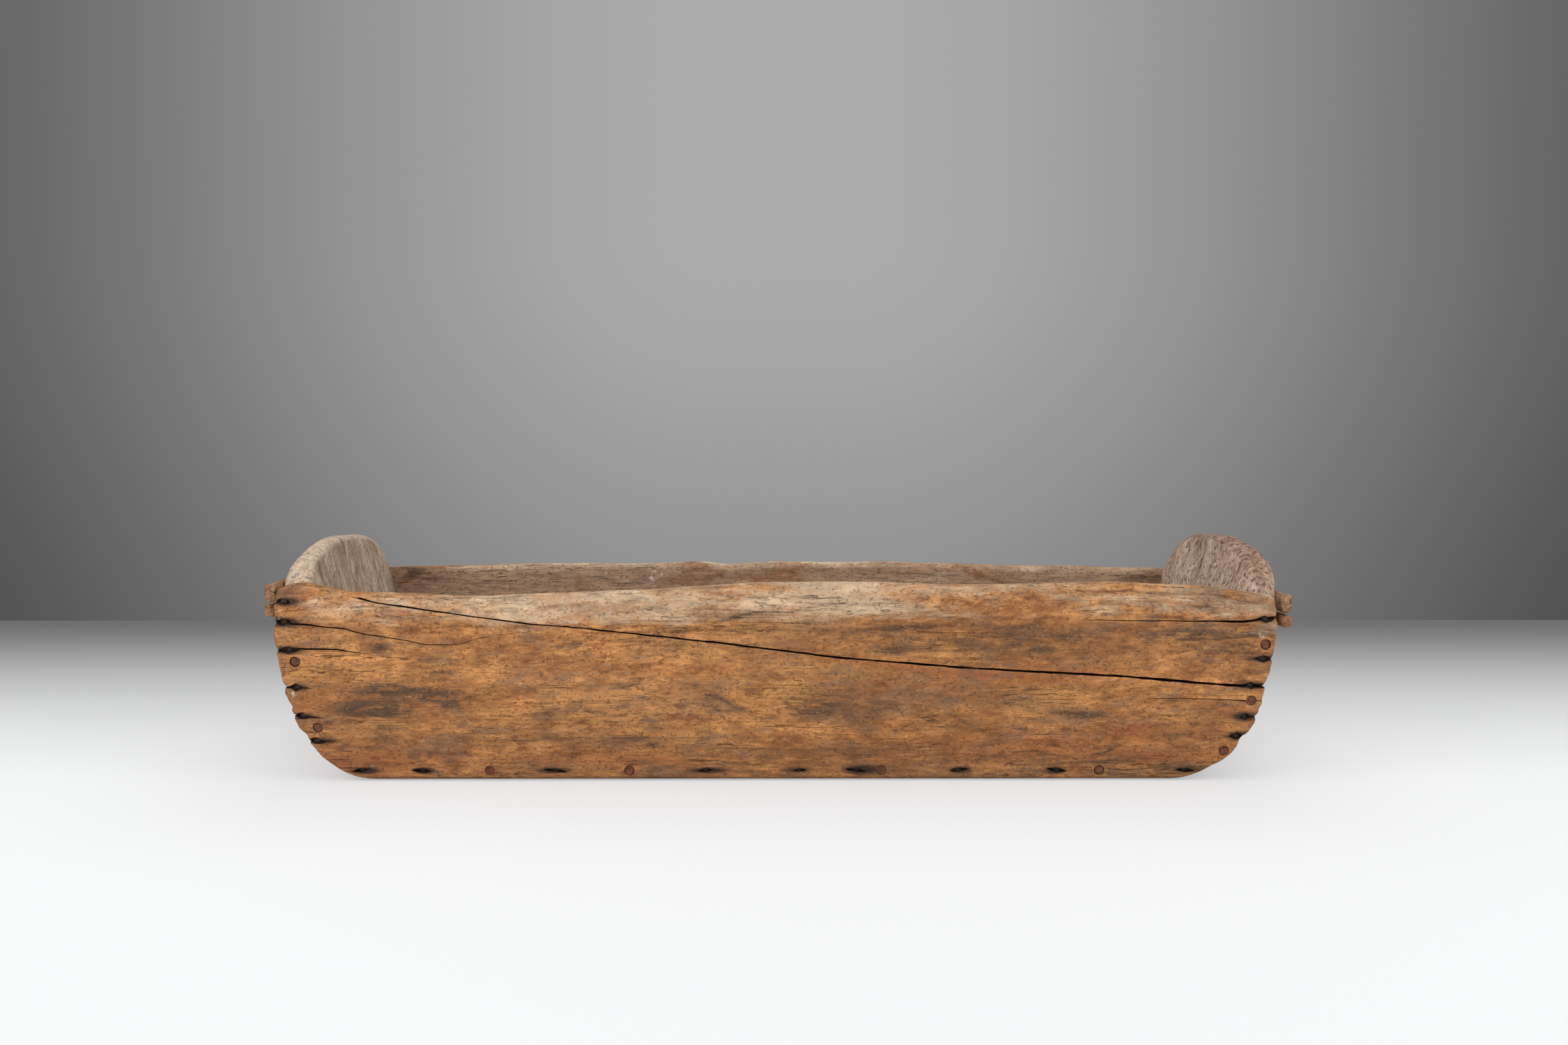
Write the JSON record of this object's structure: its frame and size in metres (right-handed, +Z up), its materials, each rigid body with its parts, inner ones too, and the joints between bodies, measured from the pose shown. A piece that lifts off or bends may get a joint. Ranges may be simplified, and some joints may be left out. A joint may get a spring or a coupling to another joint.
{
  "type": "wooden trough",
  "caption": "Long rustic wooden trough with hewn flared sides, ends rounded up from the floor, arched end boards and thin slats across the outside of each end.",
  "frame": {"origin": "on the floor, under the middle of the trough", "axes": "+X along the trough, to the right as seen from the front; +Y from front to back; +Z up"},
  "size_m": [1.34, 0.464, 0.308],
  "materials": {
    "side_boards": "bare, weathered and stained, pale along the rim",
    "end_boards": "bare, weathered grey-brown",
    "bottom_board": "bare, worn and stained",
    "slats": "bare, weathered",
    "pegs": "dark end grain",
    "nails": "hand-forged iron, rusted dark"
  },
  "bodies": {
    "root": {"back_board": "side_boards", "back_bottom_nails": "nails", "back_bottom_pegs": "pegs", "back_left_nails": "nails", "back_left_pegs": "pegs", "back_right_nails": "nails", "back_right_pegs": "pegs", "bottom_board": "bottom_board", "front_board": "side_boards", "front_bottom_nails": "nails", "front_bottom_pegs": "pegs", "front_left_nails": "nails", "front_left_pegs": "pegs", "front_right_nails": "nails", "front_right_pegs": "pegs", "left_end_board": "end_boards", "left_lower_slat": "slats", "left_slat_nails": "nails", "left_upper_slat": "slats", "right_end_board": "end_boards", "right_lower_slat": "slats", "right_slat_nails": "nails", "right_upper_slat": "slats"}
  },
  "joints": []
}
